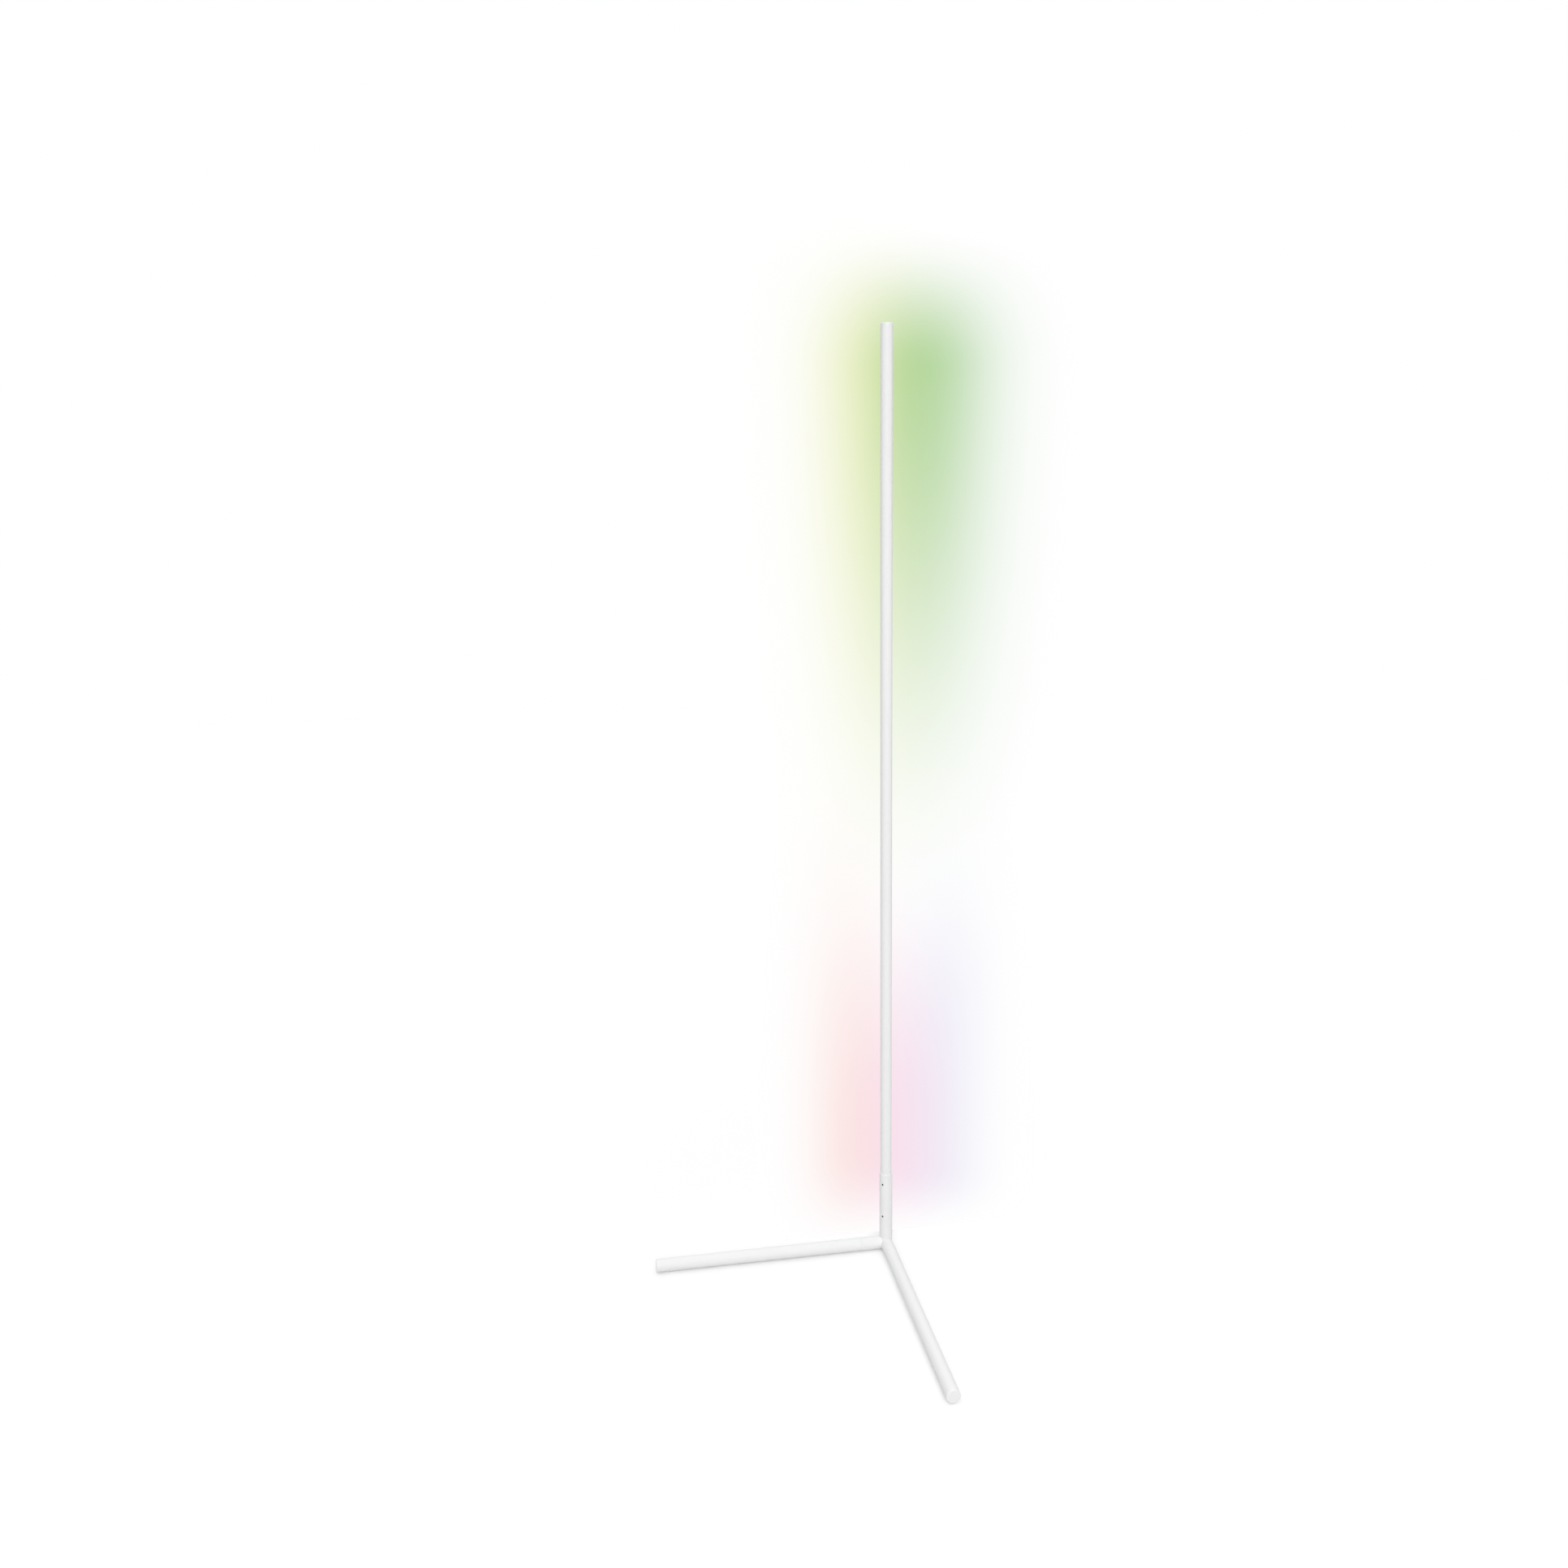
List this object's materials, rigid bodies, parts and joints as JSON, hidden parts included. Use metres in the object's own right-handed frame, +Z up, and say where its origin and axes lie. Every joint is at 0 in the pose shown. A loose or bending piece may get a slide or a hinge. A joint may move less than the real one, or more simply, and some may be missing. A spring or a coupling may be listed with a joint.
{
  "type": "corner floor lamp",
  "caption": "Slim white corner floor lamp: a tall round light column on a three-way tube joint with two horizontal legs at a right angle.",
  "frame": {"origin": "on the floor, on the axis of the light column, under the joint's foot", "axes": "+Z up along the light column; one leg along -X, the other along -Y; the light leaves towards +X and +Y, into the corner"},
  "size_m": [0.375, 0.375, 1.4],
  "materials": {
    "white_metal": "white satin powder coat",
    "white_aluminium": "white satin powder coat on an aluminium profile",
    "bare_aluminium": "turned",
    "plain_steel": "zinc plated",
    "black_steel": "black oxide",
    "tinned_steel": "tinned",
    "contact_metal": "nickel plated",
    "opal_plastic": "opal, lit from inside",
    "white_plastic": "satin",
    "black_plastic": "moulded",
    "white_board": "white solder mask on a thin board",
    "green_board": "green solder mask on a thin board",
    "colour_chip": "clear face in a white package",
    "white_chip": "yellow phosphor face in a white package",
    "lead_jacket": "matt jacket",
    "white_rubber": "matt"
  },
  "bodies": {
    "root": {"corner_joint": "white_metal", "column_spigot": "bare_aluminium", "spigot_screws": "plain_steel", "set_screw_upper": "black_steel", "set_screw_lower": "black_steel", "light_profile": "white_aluminium", "diffuser": "opal_plastic", "top_cap": "white_plastic", "light_board": "white_board", "colour_chips": "colour_chip", "white_chips": "white_chip", "control_board": "green_board", "control_chips": "black_plastic", "radio_module": "tinned_steel", "lead_terminal": "white_plastic", "board_link": "black_plastic", "supply_lead": "lead_jacket", "power_socket_body": "black_plastic", "power_socket_contact": "contact_metal", "power_socket_pin": "contact_metal", "leg_tube_left": "white_metal", "leg_tube_front": "white_metal", "leg_ring_left": "white_metal", "leg_ring_front": "white_metal", "leg_stud_left": "plain_steel", "leg_stud_front": "plain_steel", "arm_bush_left": "plain_steel", "arm_bush_front": "plain_steel", "leg_bush_left": "plain_steel", "leg_bush_front": "plain_steel", "leg_cap_left": "white_plastic", "leg_cap_front": "white_plastic", "foot_joint": "white_rubber", "foot_left": "white_rubber", "foot_front": "white_rubber"}
  },
  "joints": []
}
